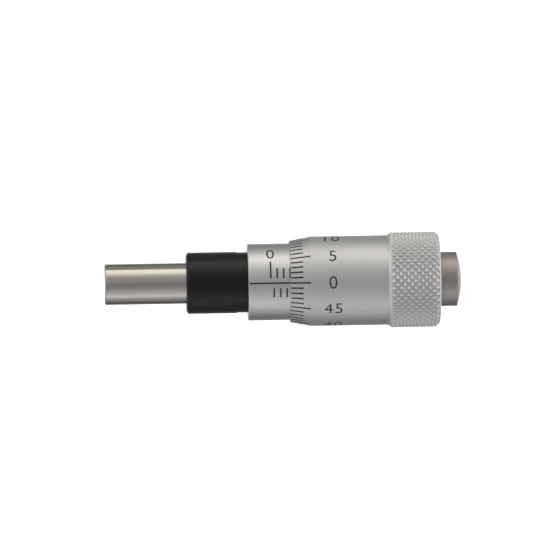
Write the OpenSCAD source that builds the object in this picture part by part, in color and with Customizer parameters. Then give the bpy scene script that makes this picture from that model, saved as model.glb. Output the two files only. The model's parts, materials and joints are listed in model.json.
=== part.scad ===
// Micrometer head: a plain clamping stem, a graduated sleeve, and a screw-fed
// spindle that a knurled thimble turns. All pieces are turned about the X axis.
// The measuring face looks towards -X, the reading line towards -Y, and +Z is up.
// The origin is on the axis, at the middle of the stem's clamping length.

/* [Spindle] */
// Diameter of the ground spindle
spindle_d = 6.35; // [5:0.05:8]
// Distance from the shoulder to the measuring face when the scale reads zero
reach_at_zero = 25.1; // [20:0.05:40]
// Bevel round the measuring face
tip_bevel = 0.15; // [0.05:0.05:0.4]
// Height of the screw thread above the ground shank
thread_rise = 0.325; // [0.2:0.025:0.6]
// Bevel at both ends of the screw thread
thread_bevel = 0.3; // [0.1:0.05:0.4]
// Drop from the shank to the large end of the taper that carries the thimble
seat_drop = 0.175; // [0.1:0.025:0.4]
// Fall of the taper's radius for each millimetre of its length
seat_slope = 0.1; // [0.02:0.01:0.15]
// Diameter of the screwed stud behind the taper
stud_d = 4; // [3:0.1:4.4]

/* [Measuring range] */
// Travel of the spindle
travel = 15; // [10:0.5:25]
// Reading in the rest position
reading = 3; // [0.5:0.5:10]

/* [Stem] */
// Wall of the stem round the spindle
stem_wall = 1.575; // [1.4:0.025:3]
// Length of the stem in front of the shoulder
stem_len = 9.5; // [8:0.1:20]
// Radius of the stem's front corner
stem_corner = 0.5; // [0.2:0.05:1]
// Depth of the grinding relief beside the shoulder
relief_depth = 0.08; // [0.04:0.01:0.3]
// Length of the grinding relief in front of the shoulder
relief_len = 1.7; // [0.5:0.1:3]
// Depth of the turned neck under the sleeve's lip
neck_depth = 0.25; // [0.2:0.05:0.5]
// Clearance along the axis at the ends of the screw and of the thimble's taper
inner_gap = 0.5; // [0.3:0.1:1]
// Clearance on the radius round the screw thread inside the stem
bore_gap = 0.15; // [0.1:0.05:0.3]

/* [Split nut] */
// Length of thread in the nut at the rear of the stem
nut_thread_len = 7.8; // [6:0.1:10]
// Length of the tapered tail that carries the adjusting nut
tail_len = 6.8; // [5.8:0.1:7.5]
// Wall of the tail at its rear end
tail_wall = 0.8; // [0.6:0.05:1]
// Fall of the tail's radius for each millimetre of its length
tail_slope = 0.04; // [0.02:0.01:0.06]
// Distance that the tail stands out behind the sleeve
tail_proud = 1.3; // [0.5:0.1:3]
// Length of the slits in the tail, from its rear end
slit_len = 6; // [4:0.1:6.5]
// Width of the slits
slit_w = 0.8; // [0.4:0.1:1.2]
// Number of slits
slit_count = 3; // [3:1:4]
// Length of the adjusting nut
nut_len = 5; // [3:0.1:5.2]
// Distance from the adjusting nut to the rear end of the tail
nut_setback = 0.4; // [0.2:0.1:0.6]
// Clearance between the adjusting nut and the sleeve, on the radius
nut_gap = 0.12; // [0.08:0.02:0.2]
// Depth of the spanner notches in the adjusting nut
notch_depth = 0.8; // [0.4:0.1:1.5]
// Width of the spanner notches
notch_w = 1.2; // [0.8:0.1:2]
// Number of spanner notches
notch_count = 4; // [2:1:6]

/* [Graduated sleeve] */
// Height of the shoulder, from the stem to the outside of the sleeve
shoulder_h = 1.185; // [1.1:0.005:2]
// Wall of the sleeve
sleeve_wall = 0.7; // [0.5:0.05:0.8]
// Thickness of the sleeve's front lip
lip_len = 1.2; // [0.8:0.1:2]
// Radius of the sleeve's front corner
sleeve_corner = 0.15; // [0.05:0.05:0.4]
// Distance from the shoulder to the zero mark
zero_offset = 3.45; // [2.5:0.05:6]
// Length of sleeve behind the last mark
end_cover = 1; // [0.5:0.1:2]
// Diameter of the hole for the hook spanner
spanner_hole_d = 1.2; // [0.8:0.1:1.6]

/* [Engraved scales] */
// Width of the engraved lines
line_w = 0.2; // [0.1:0.02:0.3]
// Depth of the engraved lines
line_depth = 0.06; // [0.03:0.01:0.15]
// Distance from the sleeve's front to the reading line
datum_gap = 0.15; // [0.1:0.05:1]
// Distance between the marks above the reading line; those below stand half-way
mark_pitch = 1; // [0.5:0.5:2]
// Angle from the reading line to the start of the marks
mark_start = 7; // [3:0.5:10]
// Angle that a short mark spans
mark_span = 15; // [8:0.5:20]
// Angle that a long mark spans
long_mark_span = 26.5; // [21:0.5:35]
// Count from each long mark or line to the next
long_every = 5; // [2:1:10]
// Lines round the thimble's bevel
divisions = 50; // [25:25:50]
// Distance from the thimble's front edge to its lines
division_gap = 0.08; // [0.05:0.01:0.3]
// Length of a short line on the bevel
division_len = 1.95; // [1:0.05:2.2]
// Length of a long line on the bevel
long_division_len = 3.1; // [2.5:0.05:3.2]

/* [Thimble] */
// Clearance between the thimble and the sleeve, on the radius
thimble_gap = 0.1; // [0.05:0.01:0.2]
// Wall of the thimble at its front edge
edge_wall = 0.265; // [0.15:0.005:0.5]
// Length of the graduated bevel
bevel_len = 3.33; // [2.5:0.01:5]
// Rise of the graduated bevel, on the radius
bevel_rise = 0.64; // [0.4:0.01:1]
// Clearance inside the thimble behind the stem's tail when the scale reads zero
end_gap = 1; // [0.5:0.1:2]
// Thickness of the thimble's rear wall
web_len = 5; // [3.5:0.1:6.5]

/* [Knurled grip] */
// Length of the grip, from its front bevel to the thimble's rear face
grip_len = 8.3; // [6:0.05:12]
// Height of the grip above the thimble, on the radius
grip_rise = 0.48; // [0.42:0.01:0.8]
// Length of the grip's front bevel
grip_bevel = 0.8; // [0.5:0.05:1.2]
// Radius of the grip's rear corner
grip_corner = 1.05; // [0.8:0.05:1.4]
// Diamonds around the grip
knurl_around = 42; // [30:1:50]
// Pitch of the diamonds along the grip
knurl_pitch = 1.11; // [0.9:0.01:1.5]
// Depth of the knurl
knurl_depth = 0.32; // [0.2:0.01:0.34]
// Part of each diamond that is flat on top
knurl_flat = 0.2; // [0.1:0.05:0.6]

/* [End cap] */
// Diameter of the end cap
cap_d = 8.4; // [7.5:0.1:12]
// Length of the end cap up to its dome
cap_len = 2.65; // [2:0.05:5]
// Height of the dome
dome_h = 0.68; // [0.3:0.02:1]
// Thickness of the cap behind the stud's hole, up to the dome
cap_roof = 0.15; // [0.1:0.05:0.5]
// Clearance between the stud and the bottom of its hole
stud_gap = 0.3; // [0.1:0.1:0.5]

/* [Fits] */
// Running clearance, on the radius
run_gap = 0.02; // [0.01:0.005:0.05]
// Clearance of the fixed seats, on the radius
seat_gap = 0.02; // [0.01:0.005:0.04]
// Clearance between the sleeve's lip and the stem, on the radius
lip_gap = 0.03; // [0.02:0.01:0.06]

/* [Hidden] */
$fn = 96;
// Distance that cutting shapes run past the faces they cut
past = 1;

// Radii, from the spindle outwards
spindle_r = spindle_d / 2;
thread_r = spindle_r + thread_rise;
nut_bore_r = thread_r + run_gap;
stem_r = spindle_r + stem_wall;
relief_r = stem_r - relief_depth;
sleeve_r = stem_r + shoulder_h;
sleeve_bore_r = sleeve_r - sleeve_wall;
barrel_r = sleeve_bore_r - seat_gap;
tail_end_r = nut_bore_r + tail_wall;
tail_root_r = tail_end_r + tail_slope * tail_len;
nut_r = sleeve_bore_r - nut_gap;
thimble_bore_r = sleeve_r + thimble_gap;
edge_r = thimble_bore_r + edge_wall;
thimble_r = edge_r + bevel_rise;
grip_r = thimble_r + grip_rise;
seat_r = spindle_r - seat_drop;
stud_r = stud_d / 2;
cap_r = cap_d / 2;
dome_r = (cap_r * cap_r + dome_h * dome_h) / (2 * dome_h);

// Stations along the axis, from the origin
clamp_len = stem_len - stem_corner - relief_len;
shoulder_x = clamp_len / 2 + relief_len;
stem_x = shoulder_x - stem_len;
relief_x = shoulder_x - relief_len;
barrel_x = shoulder_x + lip_len;
sleeve_end_x = shoulder_x + zero_offset + travel + end_cover;
tail_end_x = sleeve_end_x + tail_proud;
tail_x = tail_end_x - tail_len;
nut_thread_x = tail_end_x - nut_thread_len;
nut_end_x = tail_end_x - nut_setback;
nut_x = nut_end_x - nut_len;
tip_x = shoulder_x - reach_at_zero + reading;
thread_x = nut_thread_x - travel + reading;
guide_end_x = thread_x - reading - inner_gap;
edge_x = shoulder_x + zero_offset + reading;
web_x = tail_end_x + end_gap + reading;
thread_end_x = web_x - inner_gap;
thimble_end_x = web_x + web_len;
grip_x = thimble_end_x - grip_len;
seat_end_x = thimble_end_x - inner_gap;
stud_end_x = thimble_end_x + cap_len - cap_roof - stud_gap;
cap_end_x = thimble_end_x + cap_len;

// Knurl: the valleys, and how far its ends and its inside are sunk in the grip
valley_r = grip_r - knurl_depth;
knurl_sink = 0.12;
land_h = 0.1;
grip_slope = grip_rise / grip_bevel;
knurl_x = grip_x + (valley_r - knurl_sink / 2 - thimble_r) / grip_slope;
corner_x = thimble_end_x - grip_corner;
corner_r = grip_r - grip_corner;
knurl_end_x = corner_x + sqrt(pow(grip_corner, 2) - pow(valley_r - corner_r, 2));
knurl_rows = 2 * round((knurl_end_x - knurl_x) / knurl_pitch);
knurl_step = (knurl_end_x - knurl_x) / knurl_rows;
knurl_turn = 180 / knurl_around;

// Turns a half section about the X axis; x is the radius and y the station
module turned() {
    rotate([0, 90, 0]) rotate_extrude() children();
}

// Half section of a plain step between two stations
module step(r, from_x, to_x) {
    translate([0, from_x]) square([r, to_x - from_x]);
}

// Half section of a step whose front corner is rounded
module rounded_step(r, from_x, to_x, corner) {
    step(r, from_x + corner, to_x);
    step(r - corner, from_x, from_x + corner);
    translate([r - corner, from_x + corner]) circle(corner);
}

// Half section of a frustum
module taper(r_from, r_to, from_x, to_x) {
    polygon([[0, from_x], [r_from, from_x], [r_to, to_x], [0, to_x]]);
}

module stem_body() {
    color("#1d1c1d") difference() {
        turned() difference() {
            union() {
                rounded_step(stem_r, stem_x, relief_x, stem_corner);
                step(relief_r, relief_x, shoulder_x);
                step(stem_r - neck_depth, shoulder_x, barrel_x);
                step(barrel_r, barrel_x, tail_x);
                taper(tail_root_r, tail_end_r, tail_x, tail_end_x);
            }
            step(spindle_r + run_gap, stem_x - past, guide_end_x);
            step(thread_r + bore_gap, guide_end_x, nut_thread_x);
            step(nut_bore_r, nut_thread_x, tail_end_x + past);
        }
        for (i = [0 : slit_count - 1])
            rotate([360 * i / slit_count, 0, 0])
                translate([tail_end_x - slit_len, -slit_w / 2, 0])
                    cube([slit_len + past, slit_w, tail_root_r + past]);
    }
}

// Cutter for a mark on the sleeve at station x; angles rise from the reading line
module mark(x, from_angle, span) {
    rotate([0, 90, 0]) rotate([0, 0, 270 - from_angle - span]) rotate_extrude(angle = span)
        translate([sleeve_r - line_depth, x - line_w / 2]) square([line_depth + past, line_w]);
}

// Cutters for the sleeve's scale: a mark at each pitch above the reading line, and between them below it
module sleeve_scale() {
    datum_x = shoulder_x + datum_gap;
    translate([datum_x, -sleeve_r - past, -line_w / 2])
        cube([sleeve_end_x + past - datum_x, line_depth + past, line_w]);
    marks = floor(travel / mark_pitch);
    for (i = [0 : marks]) {
        x = shoulder_x + zero_offset + i * mark_pitch;
        mark(x, mark_start, i % long_every == 0 ? long_mark_span : mark_span);
        if (i < marks)
            mark(x + mark_pitch / 2, -mark_start - mark_span, mark_span);
    }
}

module graduated_sleeve() {
    color("#c9c7c5") difference() {
        turned() difference() {
            rounded_step(sleeve_r, shoulder_x, sleeve_end_x, sleeve_corner);
            step(stem_r + lip_gap, shoulder_x - past, barrel_x);
            step(sleeve_bore_r, barrel_x, sleeve_end_x + past);
        }
        sleeve_scale();
        // hole for the hook spanner, on the side away from the reading line
        translate([barrel_x + spanner_hole_d, 0, 0])
            rotate([-90, 0, 0]) cylinder(d = spanner_hole_d, h = sleeve_r + past);
    }
}

module adjusting_nut() {
    nut_end_r = tail_end_r + tail_slope * nut_setback + seat_gap;
    color("#8f8d8a") difference() {
        turned() difference() {
            step(nut_r, nut_x, nut_end_x);
            taper(nut_end_r + tail_slope * nut_len, nut_end_r, nut_x, nut_end_x);
        }
        for (i = [0 : notch_count - 1])
            rotate([360 * (i + 0.5) / notch_count, 0, 0])
                translate([nut_end_x - notch_depth, -notch_w / 2, tail_end_r])
                    cube([notch_depth + past, notch_w, nut_r]);
    }
}

module spindle() {
    color("#a9a49e") turned() {
        taper(spindle_r - tip_bevel, spindle_r, tip_x, tip_x + tip_bevel);
        step(spindle_r, tip_x + tip_bevel, thread_x);
        taper(thread_r - thread_bevel, thread_r, thread_x, thread_x + thread_bevel);
        step(thread_r, thread_x + thread_bevel, thread_end_x - thread_bevel);
        taper(thread_r, thread_r - thread_bevel, thread_end_x - thread_bevel, thread_end_x);
        step(seat_r, thread_end_x, web_x);
        taper(seat_r, seat_r - seat_slope * (seat_end_x - web_x), web_x, seat_end_x);
        step(stud_r, seat_end_x, stud_end_x);
    }
}

// Point of the knurl at lattice place (i, j), at most as high as the rear corner
function corner_limit(x) =
    x <= corner_x ? grip_r
    : corner_r + sqrt(max(0, pow(grip_corner, 2) - pow(x - corner_x, 2)));
function knurl_point(i, j, r) =
    let (x = knurl_x + i * knurl_step, a = j * knurl_turn, h = min(r, corner_limit(x)))
    [x, h * sin(a), h * cos(a)];

// Diamond knurl: one flat-topped pyramid on every second place of the lattice
module knurl() {
    cols = 2 * knurl_around;
    rows = knurl_rows;
    end_r = valley_r - knurl_sink;
    inner_r = end_r - knurl_sink;
    f = knurl_flat;
    apex = [for (i = [1 : rows - 1]) for (j = [0 : cols - 1]) if ((i + j) % 2 == 0) [i, j]];
    // valley points stand row by row, then four points round each flat, then the inside
    function base(i, j) = i * knurl_around + floor(((j + cols) % cols) / 2);
    tops = (rows + 1) * knurl_around;
    inside = tops + 4 * len(apex);
    points = concat(
        [for (i = [0 : rows]) for (k = [0 : knurl_around - 1])
            knurl_point(i, 2 * k + (i + 1) % 2, i == 0 || i == rows ? end_r : valley_r)],
        [for (p = apex) for (d = [[-f, 0], [0, f], [f, 0], [0, -f]])
            knurl_point(p[0] + d[0], p[1] + d[1], grip_r)],
        [for (i = [0, rows]) for (k = [0 : knurl_around - 1]) knurl_point(i, 2 * k + 1, inner_r)]
    );
    flanks = [for (n = [0 : len(apex) - 1])
        let (
            i = apex[n][0],
            j = apex[n][1],
            foot = [base(i - 1, j), base(i, j + 1), base(i + 1, j), base(i, j - 1)],
            top = tops + 4 * n
        )
        for (s = [0 : 3])
            for (face = [
                [foot[s], top + s, top + (s + 1) % 4],
                [foot[s], top + (s + 1) % 4, foot[(s + 1) % 4]]
            ]) face];
    flats = [for (n = [0 : len(apex) - 1])
        let (top = tops + 4 * n)
        for (face = [[top, top + 2, top + 1], [top, top + 3, top + 2]]) face];
    ends = [for (k = [0 : knurl_around - 1])
        let (
            m = (k + 1) % knurl_around,
            front = inside,
            rear = inside + knurl_around,
            last = rows * knurl_around
        )
        for (face = [
            [k, m, base(1, 2 * k + 2)],
            [last + m, last + k, base(rows - 1, 2 * k + 2)],
            [k, front + k, front + m],
            [k, front + m, m],
            [last + k, last + m, rear + m],
            [last + k, rear + m, rear + k],
            [front + k, rear + k, rear + m],
            [front + k, rear + m, front + m]
        ]) face];
    polyhedron(points, concat(flanks, flats, ends));
}

// Half section of the thimble, with the grip turned down to take the knurl
module thimble_section() {
    core_r = valley_r - 1.5 * knurl_sink;
    land_r = valley_r + land_h;
    land_x = grip_x + (land_r - thimble_r) / grip_slope;
    rear_x = corner_x + sqrt(pow(grip_corner, 2) - pow(land_r - corner_r, 2));
    taper(edge_r, thimble_r, edge_x, edge_x + bevel_len);
    step(thimble_r, edge_x + bevel_len, grip_x);
    taper(thimble_r, land_r, grip_x, land_x);
    step(core_r, land_x, rear_x);
    intersection() {
        step(grip_r, rear_x, thimble_end_x);
        union() {
            step(corner_r, rear_x, thimble_end_x);
            translate([corner_r, corner_x]) circle(grip_corner);
        }
    }
}

// Cutters for the lines round the bevel, the first on the reading line
module thimble_scale() {
    for (i = [0 : divisions - 1])
        rotate([90 - 360 * i / divisions, 0, 0])
            translate([edge_x, 0, edge_r])
                rotate([0, -atan2(bevel_rise, bevel_len), 0])
                    translate([division_gap, -line_w / 2, -line_depth])
                        cube([
                            i % long_every == 0 ? long_division_len : division_len,
                            line_w,
                            line_depth + past
                        ]);
}

module thimble() {
    bore_r = seat_r + run_gap;
    color("#c4c3c2") difference() {
        union() {
            turned() thimble_section();
            knurl();
        }
        turned() {
            step(thimble_bore_r, edge_x - past, web_x);
            taper(bore_r, bore_r - seat_slope * (web_len + past), web_x, thimble_end_x + past);
        }
        thimble_scale();
    }
}

module end_cap() {
    color("#9c9490") turned() difference() {
        intersection() {
            step(cap_r, thimble_end_x, cap_end_x + dome_h);
            translate([0, cap_end_x + dome_h - dome_r]) circle(dome_r);
        }
        step(stud_r + run_gap, thimble_end_x - past, cap_end_x - cap_roof);
    }
}

stem_body();
graduated_sleeve();
adjusting_nut();
spindle();
thimble();
end_cap();
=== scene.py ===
"""Micrometer head: a black clamping stem, a satin-chrome sleeve with its scale, a ground spindle, and a
knurled satin-chrome thimble with a domed cap. Sections follow the order in which the head is put together.
"""

import json
import math

import bmesh
import bpy
from mathutils import Matrix, Vector


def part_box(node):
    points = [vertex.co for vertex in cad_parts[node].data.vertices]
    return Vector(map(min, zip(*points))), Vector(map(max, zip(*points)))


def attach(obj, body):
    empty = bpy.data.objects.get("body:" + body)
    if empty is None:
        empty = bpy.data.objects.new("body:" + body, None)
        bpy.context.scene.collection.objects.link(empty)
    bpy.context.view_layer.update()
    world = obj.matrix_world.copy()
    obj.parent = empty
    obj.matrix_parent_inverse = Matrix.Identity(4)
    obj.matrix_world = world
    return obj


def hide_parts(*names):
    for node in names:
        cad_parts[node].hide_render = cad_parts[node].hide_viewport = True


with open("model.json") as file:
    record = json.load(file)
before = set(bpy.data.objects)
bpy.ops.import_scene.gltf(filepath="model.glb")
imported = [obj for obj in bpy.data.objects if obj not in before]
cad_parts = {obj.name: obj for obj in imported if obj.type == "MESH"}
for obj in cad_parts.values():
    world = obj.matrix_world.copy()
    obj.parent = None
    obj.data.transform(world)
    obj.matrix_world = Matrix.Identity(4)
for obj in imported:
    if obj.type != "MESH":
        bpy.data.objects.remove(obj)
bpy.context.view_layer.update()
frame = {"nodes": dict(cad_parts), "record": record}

# Stem
# One turned steel piece: the plain ground stem that a fixture clamps, a shallow grinding relief beside the
# shoulder, the barrel inside the sleeve and the slit nut at its rear. Blackened all over after grinding.

MM = 0.001


def rounded(corners, steps=6):
    """Outline in mm through the (x, radius, fillet) corners of a half section, with each fillet as an arc."""
    points = []
    for i, (x, r, fillet) in enumerate(corners):
        here = Vector((x, r))
        if not fillet:
            points.append(here)
            continue
        back = (Vector(corners[i - 1][:2]) - here).normalized()
        ahead = (Vector(corners[(i + 1) % len(corners)][:2]) - here).normalized()
        half = back.angle(ahead) / 2
        centre = here + (back + ahead).normalized() * fillet / math.sin(half)
        first = here + back * fillet / math.tan(half) - centre
        turn = math.copysign(math.pi - 2 * half, back.cross(ahead))
        points += [centre + Matrix.Rotation(-turn * k / steps, 2) @ first for k in range(steps + 1)]
    return points


def edged(points, margin=0.03):
    """The outline with a point close to both ends of each long stretch, which keeps smooth shading at the
    corners."""
    out = []
    for here, there in zip(points, points[1:] + points[:1]):
        out.append(here)
        along = there - here
        if along.length > 4 * margin and max(here.y, there.y) > 0:
            step = along.normalized() * margin
            out += [here + step, there - step]
    return out


def on_round(x, angle, radius):
    """Place in metres at a station and radius in mm; the angle runs upwards from the reading line's side."""
    return Vector((x, -radius * math.cos(angle), radius * math.sin(angle))) * MM


def skinned(name, rings, splits=None):
    """Closed mesh over rings of places, each joined to the next and the last to the first. A ring of one
    place closes the skin on the axis; splits(i, k) says which way a face is halved, if at all."""
    build = bmesh.new()
    made = [[build.verts.new(place) for place in ring] for ring in rings]
    for i, (here, there) in enumerate(zip(made, made[1:] + made[:1])):
        count = max(len(here), len(there))
        if count == 1:
            continue
        for k in range(count):
            a, b = here[k % len(here)], here[(k + 1) % len(here)]
            d, c = there[k % len(there)], there[(k + 1) % len(there)]
            way = splits(i, k) if splits else None
            if len(here) == 1:
                faces = [(a, c, d)]
            elif len(there) == 1:
                faces = [(a, b, c)]
            elif way is None:
                faces = [(a, b, c, d)]
            else:
                faces = [(a, b, c), (a, c, d)] if way else [(a, b, d), (b, c, d)]
            for face in faces:
                build.faces.new(face)
    bmesh.ops.recalc_face_normals(build, faces=build.faces)
    mesh = bpy.data.meshes.new(name)
    build.to_mesh(mesh)
    build.free()
    piece = bpy.data.objects.new(name, mesh)
    bpy.context.scene.collection.objects.link(piece)
    return piece


def turned(name, corners, around=256):
    """A piece turned on the lathe from the corners of its half section."""
    rings = []
    for x, r in edged(rounded(corners)):
        count = around if r > 1e-6 else 1
        rings.append([on_round(x, 2 * math.pi * k / count, r) for k in range(count)])
    return skinned(name, rings)


def shade(piece, angle=28):
    """Smooth shading that stays sharp over edges steeper than the angle in degrees."""
    piece.data.shade_smooth()
    piece.data.set_sharp_from_angle(angle=math.radians(angle))


def cut(piece, build):
    """Takes the closed shapes in a bmesh out of a piece."""
    mesh = bpy.data.meshes.new("cutter")
    build.to_mesh(mesh)
    build.free()
    cutter = bpy.data.objects.new("cutter", mesh)
    bpy.context.scene.collection.objects.link(cutter)
    saw = piece.modifiers.new("cut", "BOOLEAN")
    saw.operation = "DIFFERENCE"
    saw.solver = "EXACT"
    saw.object = cutter
    seen = piece.evaluated_get(bpy.context.evaluated_depsgraph_get())
    whole = piece.data
    piece.data = bpy.data.meshes.new_from_object(seen)
    piece.data.name = piece.name
    piece.modifiers.clear()
    bpy.data.meshes.remove(whole)
    bpy.data.objects.remove(cutter)
    bpy.data.meshes.remove(mesh)


def linear(code):
    """Linear colour with alpha from an sRGB hex code."""
    values = [int(code[i:i + 2], 16) / 255 for i in (1, 3, 5)]
    return [v / 12.92 if v <= 0.04045 else ((v + 0.055) / 1.055) ** 2.4 for v in values] + [1]


def add_node(tree, kind, inputs=None, **settings):
    """Adds a shader node: settings are its options, and each input takes a value or the output that feeds
    it."""
    made = tree.nodes.new(kind)
    for name, value in settings.items():
        setattr(made, name, value)
    for name, value in (inputs or {}).items():
        if isinstance(value, bpy.types.NodeSocket):
            tree.links.new(value, made.inputs[name])
        else:
            made.inputs[name].default_value = value
    return made


def finish(name):
    """A new node material: its tree, its shader, and the place on the piece in millimetres."""
    material = bpy.data.materials.new(name)
    material.use_nodes = True
    tree = material.node_tree
    shader = tree.nodes["Principled BSDF"]
    place = add_node(tree, "ShaderNodeTexCoord").outputs["Object"]
    in_mm = add_node(tree, "ShaderNodeVectorMath", {0: place, "Scale": 1 / MM}, operation="SCALE")
    return material, tree, shader, in_mm.outputs["Vector"]


stem_lo, stem_hi = (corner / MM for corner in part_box("stem_body"))
sleeve_lo, sleeve_hi = (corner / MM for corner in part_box("graduated_sleeve"))
mounts = {mount["name"]: mount for mount in frame["record"]["mounts"]}
stem_r = mounts["stem"]["dims"]["r_mm"]
stem_corner = 0.5
barrel_r = stem_hi.z
shoulder_x = sleeve_lo.x
relief_len = 1.7
relief_depth = 0.08
relief_x = shoulder_x - relief_len
relief_r = stem_r - relief_depth
relief_round = 0.03
edge_round = 0.1
neck_depth = 0.25
neck_r = stem_r - neck_depth
lip_len = 1.2
barrel_x = shoulder_x + lip_len
guide_r = 3.195
clear_r = 3.65
clear_len = 15.5
nut_bore_r = 3.52
nut_thread_len = 7.8
nut_thread_x = stem_hi.x - nut_thread_len
guide_end_x = nut_thread_x - clear_len
tail_len = 6.8
tail_taper = 0.04
tail_x = stem_hi.x - tail_len
tail_end_r = 4.32
tail_root_r = tail_end_r + tail_taper * tail_len
slit_len = 6
slit_w = 0.8
slit_count = 3
saw_over = 1

stem = turned("clamping_stem", [
    (stem_lo.x, guide_r, edge_round),
    (stem_lo.x, stem_r, stem_corner),
    (relief_x, stem_r, relief_round),
    (relief_x, relief_r, relief_round),
    (shoulder_x, relief_r, 0),
    (shoulder_x, neck_r, 0),
    (barrel_x, neck_r, 0),
    (barrel_x, barrel_r, edge_round),
    (tail_x, barrel_r, edge_round),
    (tail_x, tail_root_r, 0),
    (stem_hi.x, tail_end_r, edge_round),
    (stem_hi.x, nut_bore_r, edge_round),
    (nut_thread_x, nut_bore_r, 0),
    (nut_thread_x, clear_r, 0),
    (guide_end_x, clear_r, 0),
    (guide_end_x, guide_r, 0),
])
slits = bmesh.new()
for i in range(slit_count):
    saw_size = Vector((slit_len + saw_over, slit_w, barrel_r)) * MM
    saw_middle = Vector((stem_hi.x + (saw_over - slit_len) / 2, 0, barrel_r / 2)) * MM
    saw_way = Matrix.Rotation(2 * math.pi * i / slit_count, 4, "X") @ Matrix.Translation(saw_middle)
    bmesh.ops.create_cube(slits, size=1, matrix=saw_way @ Matrix.Diagonal(saw_size.to_4d()))
cut(stem, slits)
shade(stem)

# Black oxide on ground steel: almost black, with a half-gloss skin that shows a soft grey band along the
# top, a cloudy gloss from the bath, and faint rings of the grinding under it, drawn coarse enough to show.
black_oxide, tree, shader, place = finish("black_oxide_steel")
cloud_mm = 1.67
ring_mm = 0.111
ring_run_mm = 4
cloud = add_node(tree, "ShaderNodeTexNoise", {"Vector": place, "Scale": 1 / cloud_mm, "Detail": 4})
gloss = add_node(tree, "ShaderNodeMapRange", {
    "Value": cloud.outputs["Fac"], "From Min": 0.3, "From Max": 0.7, "To Min": 0.3, "To Max": 0.4})
tone = add_node(tree, "ShaderNodeMix", {
    "Factor": cloud.outputs["Fac"], "A": linear("#020202"), "B": linear("#070707")}, data_type="RGBA")
ring_scale = add_node(tree, "ShaderNodeVectorMath", {
    0: place, 1: (1 / ring_mm, 1 / ring_run_mm, 1 / ring_run_mm)}, operation="MULTIPLY")
grind = add_node(tree, "ShaderNodeTexNoise", {
    "Vector": ring_scale.outputs["Vector"], "Scale": 1, "Detail": 3})
ring_relief = add_node(tree, "ShaderNodeBump", {
    "Height": grind.outputs["Fac"], "Strength": 0.2, "Distance": 0.01 * MM})
tree.links.new(tone.outputs["Result"], shader.inputs["Base Color"])
tree.links.new(gloss.outputs["Result"], shader.inputs["Roughness"])
tree.links.new(ring_relief.outputs["Normal"], shader.inputs["Normal"])
shader.inputs["IOR"].default_value = 1.4
stem.data.materials.append(black_oxide)
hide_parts("stem_body")
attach(stem, "stem")

# Adjusting nut
# A turned steel ring with spanner notches, screwed on the tapered tail so that the slit nut closes on the
# screw. It sits inside the sleeve and keeps its own solid.

# Turned steel, left bare: grey, with the rings of the tool's feed across it.
turned_steel, tree, shader, place = finish("turned_steel")
feed_mm = 0.083
feed_run_mm = 5
feed_scale = add_node(tree, "ShaderNodeVectorMath", {
    0: place, 1: (1 / feed_mm, 1 / feed_run_mm, 1 / feed_run_mm)}, operation="MULTIPLY")
feed = add_node(tree, "ShaderNodeTexNoise", {"Vector": feed_scale.outputs["Vector"], "Scale": 1, "Detail": 2})
rough = add_node(tree, "ShaderNodeMapRange", {"Value": feed.outputs["Fac"], "To Min": 0.25, "To Max": 0.45})
tree.links.new(rough.outputs["Result"], shader.inputs["Roughness"])
shader.inputs["Base Color"].default_value = linear("#acaaa7")
shader.inputs["Metallic"].default_value = 1
nut = frame["nodes"]["adjusting_nut"]
nut.data.materials.clear()
nut.data.materials.append(turned_steel)

# Graduated sleeve
# A steel tube with a front lip, pushed over the barrel and turned with a hook spanner to set zero. Satin
# chrome plated, with the reading line and the millimetre marks engraved on it.

sleeve_r = sleeve_hi.z
sleeve_wall = 0.7
sleeve_bore_r = sleeve_r - sleeve_wall
lip_gap = 0.03
lip_bore_r = stem_r + lip_gap
lip_round = 0.05
sleeve_front_round = 0.15
spanner_hole_r = 0.6

sleeve = turned("reading_sleeve", [
    (sleeve_lo.x, lip_bore_r, lip_round),
    (sleeve_lo.x, sleeve_r, sleeve_front_round),
    (sleeve_hi.x, sleeve_r, edge_round),
    (sleeve_hi.x, sleeve_bore_r, edge_round),
    (barrel_x, sleeve_bore_r, 0),
    (barrel_x, lip_bore_r, 0),
])
hole = bmesh.new()
entry = Vector((barrel_x + 2 * spanner_hole_r, sleeve_r, 0)) * MM
drill = Matrix.Translation(entry) @ Matrix.Rotation(math.pi / 2, 4, "X")
bmesh.ops.create_cone(hole, cap_ends=True, segments=48, radius1=spanner_hole_r * MM,
                      radius2=spanner_hole_r * MM, depth=sleeve_r * MM, matrix=drill)
cut(sleeve, hole)
shade(sleeve)


def satin(name, least, most, grain_mm=0.06, haze_mm=2.5):
    """Satin chrome on fine-blasted steel, its roughness drifting between two values: a pale metal whose fine
    grain spreads every reflection into a soft band, so that the marks read without glare. The grain is drawn
    coarser than the real one, so that it shows."""
    material, tree, shader, place = finish(name)
    grain = add_node(tree, "ShaderNodeTexNoise", {"Vector": place, "Scale": 1 / grain_mm, "Detail": 2})
    haze = add_node(tree, "ShaderNodeTexNoise", {"Vector": place, "Scale": 1 / haze_mm, "Detail": 3})
    rough = add_node(tree, "ShaderNodeMapRange", {
        "Value": haze.outputs["Fac"], "From Min": 0.3, "From Max": 0.7, "To Min": least, "To Max": most})
    relief = add_node(tree, "ShaderNodeBump", {
        "Height": grain.outputs["Fac"], "Strength": 0.12, "Distance": 0.01 * MM})
    tree.links.new(rough.outputs["Result"], shader.inputs["Roughness"])
    tree.links.new(relief.outputs["Normal"], shader.inputs["Normal"])
    shader.inputs["Base Color"].default_value = linear("#cdcccb")
    shader.inputs["Metallic"].default_value = 1
    return material


# The sleeve's blasting is the finer one, so its band of light is the narrower.
sleeve.data.materials.append(satin("fine_satin_chrome", 0.4, 0.46))
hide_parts("graduated_sleeve")
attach(sleeve, "sleeve")

# Sleeve scale
# The reading line, a mark for each millimetre above it and each half millimetre below, and numbers every
# 5 mm: engraved lines filled with black enamel that is wiped level with the chrome.

INK_H = 0.004
INK_DEPTH = 0.02


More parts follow.
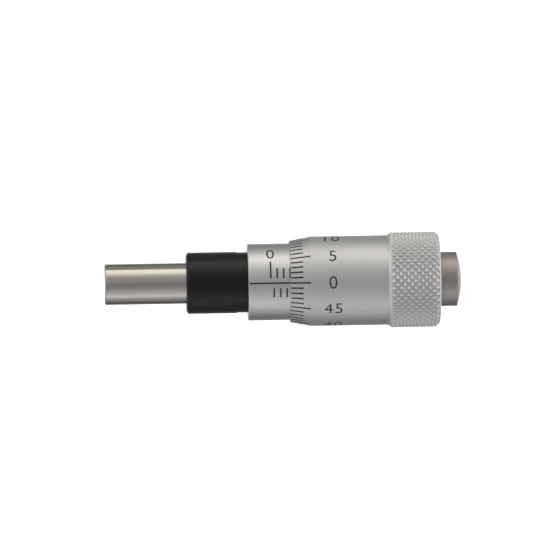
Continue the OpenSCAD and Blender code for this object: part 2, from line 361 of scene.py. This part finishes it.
def patch(build, x, angles, radius_at, pitch=math.radians(1.5)):
    """A strip of enamel over a stretch of the axis and of angles, on a surface of the given radius."""
    across = max(1, math.ceil(abs(angles[1] - angles[0]) / pitch))
    rows = []
    for k in range(across + 1):
        angle = angles[0] + (angles[1] - angles[0]) * k / across
        rows.append([build.verts.new(on_round(s, angle, radius_at(s) + INK_H)) for s in x])
    for (a, b), (d, c) in zip(rows, rows[1:]):
        build.faces.new((a, b, c, d))


def number(build, text, x, angle, radius, height, slice_mm=0.12):
    """A number of enamel wrapped on a round surface, upright, its middle at the given place."""
    letters = bpy.data.curves.new(text, "FONT")
    letters.body = text
    letters.align_x = "CENTER"
    letters.align_y = "CENTER"
    letters.space_character = 1.14
    letters.offset = -0.0025
    written = bpy.data.objects.new(text, letters)
    bpy.context.scene.collection.objects.link(written)
    flat = bmesh.new()
    mesh = bpy.data.meshes.new_from_object(written.evaluated_get(bpy.context.evaluated_depsgraph_get()))
    flat.from_mesh(mesh)
    low = min(v.co.y for v in flat.verts)
    high = max(v.co.y for v in flat.verts)
    left = min(v.co.x for v in flat.verts)
    right = max(v.co.x for v in flat.verts)
    size = height / (high - low)
    for k in range(1, math.ceil(height / slice_mm)):
        level = low + k * slice_mm / size
        everything = flat.verts[:] + flat.edges[:] + flat.faces[:]
        bmesh.ops.bisect_plane(flat, geom=everything, plane_co=(0, level, 0), plane_no=(0, 1, 0))
    for v in flat.verts:
        across = (v.co.x - (left + right) / 2) * size
        up = (v.co.y - (low + high) / 2) * size
        v.co = on_round(x + across, angle + up / radius, radius + INK_H)
    flat.to_mesh(mesh)
    flat.free()
    build.from_mesh(mesh)
    bpy.data.objects.remove(written)
    bpy.data.curves.remove(letters)
    bpy.data.meshes.remove(mesh)


def inlaid(name, build):
    """A piece of enamel from its outer faces, as thick as the engraving is deep."""
    bmesh.ops.recalc_face_normals(build, faces=build.faces)
    for face in build.faces:
        middle = face.calc_center_median()
        if face.normal.dot(Vector((0, middle.y, middle.z))) < 0:
            face.normal_flip()
    mesh = bpy.data.meshes.new(name)
    build.to_mesh(mesh)
    build.free()
    piece = bpy.data.objects.new(name, mesh)
    bpy.context.scene.collection.objects.link(piece)
    depth = piece.modifiers.new("depth", "SOLIDIFY")
    depth.thickness = INK_DEPTH * MM
    depth.offset = -1
    return piece


def sleeve_radius(x):
    """Radius of the plain sleeve, the same at every station."""
    return sleeve_r


zero_gap = 3.45
zero_x = shoulder_x + zero_gap
range_mm = 15
half_mm = 0.5
line_w = 0.25
datum_gap = 0.1
upper = (math.radians(7), math.radians(22.6))
upper_long = (math.radians(7), math.radians(33.7))
lower = (math.radians(-7.6), math.radians(-21.8))
sleeve_number_angle = math.radians(48.6)
sleeve_number_h = 1.93

sleeve_ink = bmesh.new()
datum_half_turn = line_w / 2 / sleeve_r
patch(sleeve_ink, (shoulder_x + datum_gap, sleeve_hi.x - datum_gap), (-datum_half_turn, datum_half_turn),
      sleeve_radius)
for mm in range(range_mm + 1):
    x = zero_x + mm
    patch(sleeve_ink, (x - line_w / 2, x + line_w / 2), upper if mm % 5 else upper_long, sleeve_radius)
    if mm < range_mm:
        half_x = x + half_mm
        patch(sleeve_ink, (half_x - line_w / 2, half_x + line_w / 2), lower, sleeve_radius)
    if mm % 5 == 0:
        number(sleeve_ink, str(mm), x, sleeve_number_angle, sleeve_r, sleeve_number_h)
sleeve_scale = inlaid("sleeve_scale", sleeve_ink)

# Black enamel in the engraving: dull and slightly uneven, so that it never flashes like the chrome.
black_enamel, tree, shader, place = finish("black_enamel")
mottle_mm = 0.167
mottle = add_node(tree, "ShaderNodeTexNoise", {"Vector": place, "Scale": 1 / mottle_mm, "Detail": 3})
tone = add_node(tree, "ShaderNodeMix", {
    "Factor": mottle.outputs["Fac"], "A": linear("#141213"), "B": linear("#242122")}, data_type="RGBA")
tree.links.new(tone.outputs["Result"], shader.inputs["Base Color"])
shader.inputs["Roughness"].default_value = 0.6
sleeve_scale.data.materials.append(black_enamel)
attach(sleeve_scale, "sleeve")

# Spindle
# Hardened steel, centreless ground and lapped at its end: the shank with the measuring face in front, and
# inside the head its screw, the taper that carries the thimble and the stud for the cap.

spindle_lo, spindle_hi = (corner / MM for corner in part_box("spindle"))
spindle_r = 3.175
thread_r = spindle_hi.z
face_chamfer = 0.15
face_round = 0.05
thread_lead = 12
thread_x = nut_thread_x - thread_lead
thread_chamfer = 0.3
web_gap = 4
web_x = stem_hi.x + web_gap
thread_relief = 0.5
thread_end_x = web_x - thread_relief
seat_r = 3.0
seat_len = 4.5
seat_taper = 0.1
seat_end_x = web_x + seat_len
seat_end_r = seat_r - seat_taper * seat_len
stud_r = 2
stud_round = 0.2

spindle = turned("feed_spindle", [
    (spindle_lo.x, 0, 0),
    (spindle_lo.x, spindle_r - face_chamfer, face_round),
    (spindle_lo.x + face_chamfer, spindle_r, face_round),
    (thread_x, spindle_r, 0),
    (thread_x + thread_chamfer, thread_r, 0),
    (thread_end_x - thread_chamfer, thread_r, 0),
    (thread_end_x, thread_r - thread_chamfer, 0),
    (thread_end_x, seat_r, 0),
    (web_x, seat_r, 0),
    (seat_end_x, seat_end_r, 0),
    (seat_end_x, stud_r, 0),
    (spindle_hi.x, stud_r, stud_round),
    (spindle_hi.x, 0, 0),
])
shade(spindle)

# Ground steel: bright and slightly warm, with sharp bands of light along it and hair-fine rings across it,
# drawn coarse enough to show.
ground_steel, tree, shader, place = finish("ground_steel")
grit_mm = 0.05
grit_run_mm = 3.33
grit_scale = add_node(tree, "ShaderNodeVectorMath", {
    0: place, 1: (1 / grit_mm, 1 / grit_run_mm, 1 / grit_run_mm)}, operation="MULTIPLY")
grit = add_node(tree, "ShaderNodeTexNoise", {"Vector": grit_scale.outputs["Vector"], "Scale": 1, "Detail": 3})
rough = add_node(tree, "ShaderNodeMapRange", {
    "Value": grit.outputs["Fac"], "From Min": 0.3, "From Max": 0.7, "To Min": 0.1, "To Max": 0.17})
grit_relief = add_node(tree, "ShaderNodeBump", {
    "Height": grit.outputs["Fac"], "Strength": 0.1, "Distance": 0.005 * MM})
tree.links.new(rough.outputs["Result"], shader.inputs["Roughness"])
tree.links.new(grit_relief.outputs["Normal"], shader.inputs["Normal"])
shader.inputs["Base Color"].default_value = linear("#b9b3ac")
shader.inputs["Metallic"].default_value = 1
spindle.data.materials.append(ground_steel)
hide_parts("spindle")
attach(spindle, "spindle")

# Thimble
# Turned from one steel bar: a thin front edge, the graduated bevel, a plain body, and a grip with a diamond
# knurl rolled into it between a front bevel and a round rear corner. Satin chrome plated.

thimble_lo, thimble_hi = (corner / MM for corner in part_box("thimble"))
thimble_gap = 0.1
thimble_bore_r = sleeve_r + thimble_gap
edge_setback = 0.06
edge_x = thimble_lo.x + edge_setback
edge_wall = 0.265
edge_r = thimble_bore_r + edge_wall
front_edge_round = 0.06
bore_edge_round = 0.05
bevel_len = 3.33
bevel_rise = 0.64
bevel_blend = 1.5
thimble_r = edge_r + bevel_rise
bevel_end_x = thimble_lo.x + bevel_len
grip_rise = 0.48
grip_r = thimble_r + grip_rise
grip_len = 8.15
grip_x = thimble_hi.x - grip_len
grip_bevel = 0.8
grip_corner = 1.05
corner_x = thimble_hi.x - grip_corner
corner_r = grip_r - grip_corner
knurl_depth = 0.3
knurl_crown = 1.6
# Value of the painted knurl shade on the plain surfaces, between the shaded valleys and the lightened tops.
plain_painted_shade = 0.4
knurl_runout = 0.3
diamonds_around = 42
knurl_over_corner = 0.9
knurl_end_x = corner_x + knurl_over_corner * grip_corner
knurl_rows = 14
knurl_step = 0.5565
knurl_x = knurl_end_x - knurl_rows * knurl_step
knurl_fine = 6
thimble_around = 2 * diamonds_around * knurl_fine
corner_steps = 6
seat_gap = 0.02
seat_bore_r = seat_r + seat_gap
seat_bore_end_r = seat_bore_r - seat_taper * (thimble_hi.x - web_x)


def grip_limit(x):
    """Radius of the grip's outline before knurling: its front bevel, straight part and rear corner."""
    if x < grip_x + grip_bevel:
        return thimble_r + (grip_r - thimble_r) * (x - grip_x) / grip_bevel
    if x < corner_x:
        return grip_r
    return corner_r + math.sqrt(max(0, grip_corner ** 2 - (x - corner_x) ** 2))


def knurl_radius(x, row, column):
    """Radius of the rolled diamonds at a place counted in half diamonds along and around the grip.
    They are cut off by the front bevel and run out over the rear corner."""
    rise = 1
    for turns in ((row + column) / 2, (row - column) / 2):
        rise *= 1 - (2 * abs(turns - round(turns))) ** knurl_crown
    depth = knurl_depth * min(1, (knurl_end_x - x) / knurl_runout)
    return min(grip_limit(x), grip_limit(max(x, corner_x)) - depth * (1 - rise))


def thimble_ring(x, radii):
    """A ring of the thimble at a station, with a radius for each of its places."""
    return [on_round(x, math.pi / 2 - 2 * math.pi * k / thimble_around, r) for k, r in enumerate(radii)]


# Both outlines end before the stretch that would close them: the knurl and the corner lie between.
front = edged(rounded([
    (edge_x, thimble_bore_r, bore_edge_round),
    (edge_x, edge_r, front_edge_round),
    (bevel_end_x, thimble_r, bevel_blend),
    (grip_x, thimble_r, edge_round),
    (grip_x + grip_bevel, grip_r, 0),
]))[:-3]
rear = edged(rounded([
    (thimble_hi.x, corner_r, 0),
    (thimble_hi.x, seat_bore_end_r, edge_round),
    (web_x, seat_bore_r, 0),
    (web_x, thimble_bore_r, 0),
    (edge_x, thimble_bore_r, 0),
]))[1:-4]

rings = [thimble_ring(x, [r] * thimble_around) for x, r in front if x < knurl_x]
knurl_first = len(rings)
# Painted shade and light by depth for each place: 1 lightens the knurl's tops, 0 darkens its valleys as
# shade, and the plain surfaces take a middle value.
painted_knurl_shade = [plain_painted_shade] * (knurl_first * thimble_around)
for i in range(knurl_rows * knurl_fine + 1):
    x = knurl_x + i * knurl_step / knurl_fine
    radii = [knurl_radius(x, i / knurl_fine, k / knurl_fine) for k in range(thimble_around)]
    rings.append(thimble_ring(x, radii))
    painted_knurl_shade += [1 - (grip_limit(x) - r) / knurl_depth for r in radii]
knurl_last = len(rings) - 1
corner_left = math.asin((knurl_end_x - corner_x) / grip_corner)
for k in range(1, corner_steps + 1):
    lean = corner_left + (math.pi / 2 - corner_left) * k / corner_steps
    r = corner_r + grip_corner * math.cos(lean)
    rings.append(thimble_ring(corner_x + grip_corner * math.sin(lean), [r] * thimble_around))
rings += [thimble_ring(x, [r] * thimble_around) for x, r in rear]


def diamond_edge(i, k):
    """Faces of the knurl are halved along its valleys."""
    if not knurl_first <= i < knurl_last:
        return None
    return ((i - knurl_first) // knurl_fine + k // knurl_fine) % 2 == 1


thimble = skinned("knurled_thimble", rings, diamond_edge)
shade(thimble)
painted_knurl_shade += [plain_painted_shade] * (len(thimble.data.vertices) - len(painted_knurl_shade))
thimble.data.attributes.new("painted_knurl_shade", "FLOAT", "POINT").data.foreach_set("value", painted_knurl_shade)

# The same satin chrome, with painted shade in the knurl's valleys and painted light on its tops, set by the
# depth stored on the thimble.
thimble_chrome = satin("satin_chrome", 0.5, 0.55)
tree = thimble_chrome.node_tree
painted_shade_attribute = add_node(tree, "ShaderNodeAttribute", attribute_name="painted_knurl_shade")
tone = add_node(tree, "ShaderNodeMix", {
    "Factor": painted_shade_attribute.outputs["Fac"], "A": linear("#bfbebd"), "B": linear("#dcdbda")}, data_type="RGBA")
tree.links.new(tone.outputs["Result"], tree.nodes["Principled BSDF"].inputs["Base Color"])
thimble.data.materials.append(thimble_chrome)
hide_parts("thimble")
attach(thimble, "thimble")

# Thimble scale
# Fifty lines round the bevel, each a hundredth of a millimetre of feed, every fifth one longer, and a
# number at each tenth of a turn: engraved and filled as on the sleeve.

divisions = 50
thimble_line_w = 0.23
line_start = 0.04
short_len = 1.92
long_len = 3.07
thimble_number_gap = 6.6
thimble_number_x = thimble_lo.x + thimble_number_gap
thimble_number_h = 1.94


def bevel_radius(x):
    """Radius of the graduated bevel at a station."""
    return edge_r + (thimble_r - edge_r) * (x - edge_x) / (bevel_end_x - edge_x)


thimble_ink = bmesh.new()
line_half_turn = thimble_line_w / 2 / edge_r
line_x = edge_x + line_start
for i in range(divisions):
    angle = 2 * math.pi * i / divisions
    line_end_x = line_x + (short_len if i % 5 else long_len)
    patch(thimble_ink, (line_x, line_end_x), (angle - line_half_turn, angle + line_half_turn), bevel_radius)
    if i % 5 == 0:
        number(thimble_ink, str(i), thimble_number_x, angle, thimble_r, thimble_number_h)
thimble_scale = inlaid("thimble_scale", thimble_ink)
thimble_scale.data.materials.append(black_enamel)
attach(thimble_scale, "thimble")

# End cap
# A turned steel cap nut with a shallow domed end, screwed on the spindle's stud to draw the thimble onto its
# taper. Polished on the lathe.

cap_lo, cap_hi = (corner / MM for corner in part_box("end_cap"))
cap_r = cap_hi.z
dome_h = 0.68
dome_r = (cap_r ** 2 + dome_h ** 2) / (2 * dome_h)
dome_steps = 24
stud_gap = 0.02
stud_hole_r = stud_r + stud_gap
stud_hole_web = 0.15
stud_hole_end_x = cap_hi.x - dome_h - stud_hole_web
stud_hole_round = 0.05
cap_front_round = 0.08
dome_edge_round = 0.12

dome = []
for k in range(1, dome_steps + 1):
    r = cap_r * (1 - k / dome_steps)
    dome.append((cap_hi.x - dome_r + math.sqrt(dome_r ** 2 - r ** 2), r, 0))
cap = turned("domed_cap", [
    (cap_lo.x, stud_hole_r, stud_hole_round),
    (cap_lo.x, cap_r, cap_front_round),
    (cap_hi.x - dome_h, cap_r, dome_edge_round),
    *dome,
    (stud_hole_end_x, 0, 0),
    (stud_hole_end_x, stud_hole_r, 0),
])
shade(cap)

# Polished steel: a metal darker than the chrome and slightly warm, with soft bands of light, and with faint
# rings of the polishing cloth, drawn coarse enough to show.
polished_steel, tree, shader, place = finish("polished_steel")
cloth_mm = 0.1
cloth_run_mm = 2.5
cloth_scale = add_node(tree, "ShaderNodeVectorMath", {
    0: place, 1: (1 / cloth_mm, 1 / cloth_run_mm, 1 / cloth_run_mm)}, operation="MULTIPLY")
cloth = add_node(tree, "ShaderNodeTexNoise", {
    "Vector": cloth_scale.outputs["Vector"], "Scale": 1, "Detail": 3})
rough = add_node(tree, "ShaderNodeMapRange", {
    "Value": cloth.outputs["Fac"], "From Min": 0.3, "From Max": 0.7, "To Min": 0.46, "To Max": 0.54})
tree.links.new(rough.outputs["Result"], shader.inputs["Roughness"])
shader.inputs["Base Color"].default_value = linear("#a69e99")
shader.inputs["Metallic"].default_value = 1
cap.data.materials.append(polished_steel)
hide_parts("end_cap")
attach(cap, "thimble")

# Studio
# A plain pale floor well below the head, which its fixture would hold in the air, and a white light tent: a
# bright roof panel above and in front, a pale bench below, a darker side where the camera stands, a white
# backdrop, and pale ends, the right one the brighter.

floor_z = -60
floor_size = 6000
floor_mesh = bpy.data.meshes.new("floor")
floor_half = floor_size / 2
floor_corners = [(-floor_half, -floor_half), (floor_half, -floor_half), (floor_half, floor_half),
                 (-floor_half, floor_half)]
floor_mesh.from_pydata([Vector((x, y, floor_z)) * MM for x, y in floor_corners], [], [(0, 1, 2, 3)])
floor = bpy.data.objects.new("floor", floor_mesh)
bpy.context.scene.collection.objects.link(floor)
pale_paper, tree, shader, place = finish("pale_paper")
shader.inputs["Base Color"].default_value = linear("#f2f2f2")
shader.inputs["Roughness"].default_value = 0.9
shader.inputs["Emission Color"].default_value = (1, 1, 1, 1)
shader.inputs["Emission Strength"].default_value = 0.6
floor_mesh.materials.append(pale_paper)
floor.visible_glossy = False

# Brightness and tint of the tent by the angle round the head's axis: 0 is the camera's side, 90 above and
# 180 behind. The roof panel is a warm lamp's, the rest is daylight from the cloth.
WARM = (1.02, 1.0, 0.94)
COOL = (0.985, 0.995, 1.05)
TENT = [
    (-180, 1.2, COOL), (-168, 0.8, COOL), (-155, 0.45, COOL), (-130, 0.08, COOL), (-110, 0.33, COOL),
    (-90, 0.55, COOL), (-70, 1.08, COOL), (-50, 0.76, COOL), (-32, 0.53, COOL), (-16, 0.39, COOL),
    (0, 0.34, COOL), (16, 0.47, COOL), (32, 0.49, COOL), (46, 0.67, WARM), (58, 1.12, WARM),
    (70, 1.63, WARM), (80, 1.66, WARM), (88, 1.63, WARM), (94, 0.46, WARM), (105, 0.37, WARM),
    (120, 0.38, COOL), (138, 0.1, COOL), (150, 0.4, COOL), (165, 0.9, COOL), (180, 1.2, COOL),
]
TENT_PEAK = 2
TENT_LEFT = 0.95
TENT_RIGHT = 1.3
TENT_END_POWER = 4
world = bpy.data.worlds.new("light_tent")
bpy.context.scene.world = world
world.use_nodes = True
tree = world.node_tree
tree.nodes.clear()
way = add_node(tree, "ShaderNodeSeparateXYZ", {
    "Vector": add_node(tree, "ShaderNodeTexCoord").outputs["Generated"]})
towards = add_node(tree, "ShaderNodeMath", {0: way.outputs["Y"], 1: -1}, operation="MULTIPLY")
round_axis = add_node(tree, "ShaderNodeMath", {
    0: way.outputs["Z"], 1: towards.outputs["Value"]}, operation="ARCTAN2")
turn = add_node(tree, "ShaderNodeMath", {
    0: round_axis.outputs["Value"], 1: 1 / (2 * math.pi), 2: 0.5}, operation="MULTIPLY_ADD")
ramp = add_node(tree, "ShaderNodeValToRGB", {"Fac": turn.outputs["Value"]})
stops = ramp.color_ramp.elements
while len(stops) > 1:
    stops.remove(stops[-1])
for i, (degrees, level, tint) in enumerate(TENT):
    stop = stops[0] if i == 0 else stops.new(degrees / 360 + 0.5)
    stop.position = degrees / 360 + 0.5
    stop.color = [level * part / TENT_PEAK for part in tint] + [1]
to_end = add_node(tree, "ShaderNodeMath", {0: way.outputs["X"], 1: TENT_END_POWER}, operation="POWER")
tent_end = add_node(tree, "ShaderNodeMapRange", {
    "Value": way.outputs["X"], "From Min": -1,
    "To Min": TENT_LEFT / TENT_PEAK, "To Max": TENT_RIGHT / TENT_PEAK})
tent_colour = add_node(tree, "ShaderNodeMix", {
    "Factor": to_end.outputs["Value"], "A": ramp.outputs["Color"], "B": tent_end.outputs["Result"]},
    data_type="RGBA")
tent = add_node(tree, "ShaderNodeBackground", {
    "Color": tent_colour.outputs["Result"], "Strength": TENT_PEAK})
white = add_node(tree, "ShaderNodeBackground", {"Color": (1, 1, 1, 1)})
light_path = add_node(tree, "ShaderNodeLightPath")
mixed = add_node(tree, "ShaderNodeMixShader", {
    "Fac": light_path.outputs["Is Camera Ray"],
    1: tent.outputs["Background"], 2: white.outputs["Background"]})
add_node(tree, "ShaderNodeOutputWorld", {"Surface": mixed.outputs["Shader"]})

# Camera
# A long lens almost square to the axis, slightly from the left and from above, rolled a little so that the
# cap's end stands higher.

distance = 1200
azimuth = math.radians(-2)
elevation = math.radians(2)
roll = math.radians(0.9)
aim = Vector((10.41, 0, 0.27))
view_w = 86.69

camera = bpy.data.objects.new("camera", bpy.data.cameras.new("camera"))
bpy.context.scene.collection.objects.link(camera)
back = Vector((
    math.sin(azimuth) * math.cos(elevation), -math.cos(azimuth) * math.cos(elevation), math.sin(elevation)))
pose = back.to_track_quat("Z", "Y").to_matrix() @ Matrix.Rotation(-roll, 3, "Z")
camera.matrix_world = Matrix.Translation((aim + back * distance) * MM) @ pose.to_4x4()
camera.data.sensor_width = 36
camera.data.lens = camera.data.sensor_width * distance / view_w
camera.data.clip_end = 20
bpy.context.scene.camera = camera
bpy.context.scene.view_settings.view_transform = "Standard"
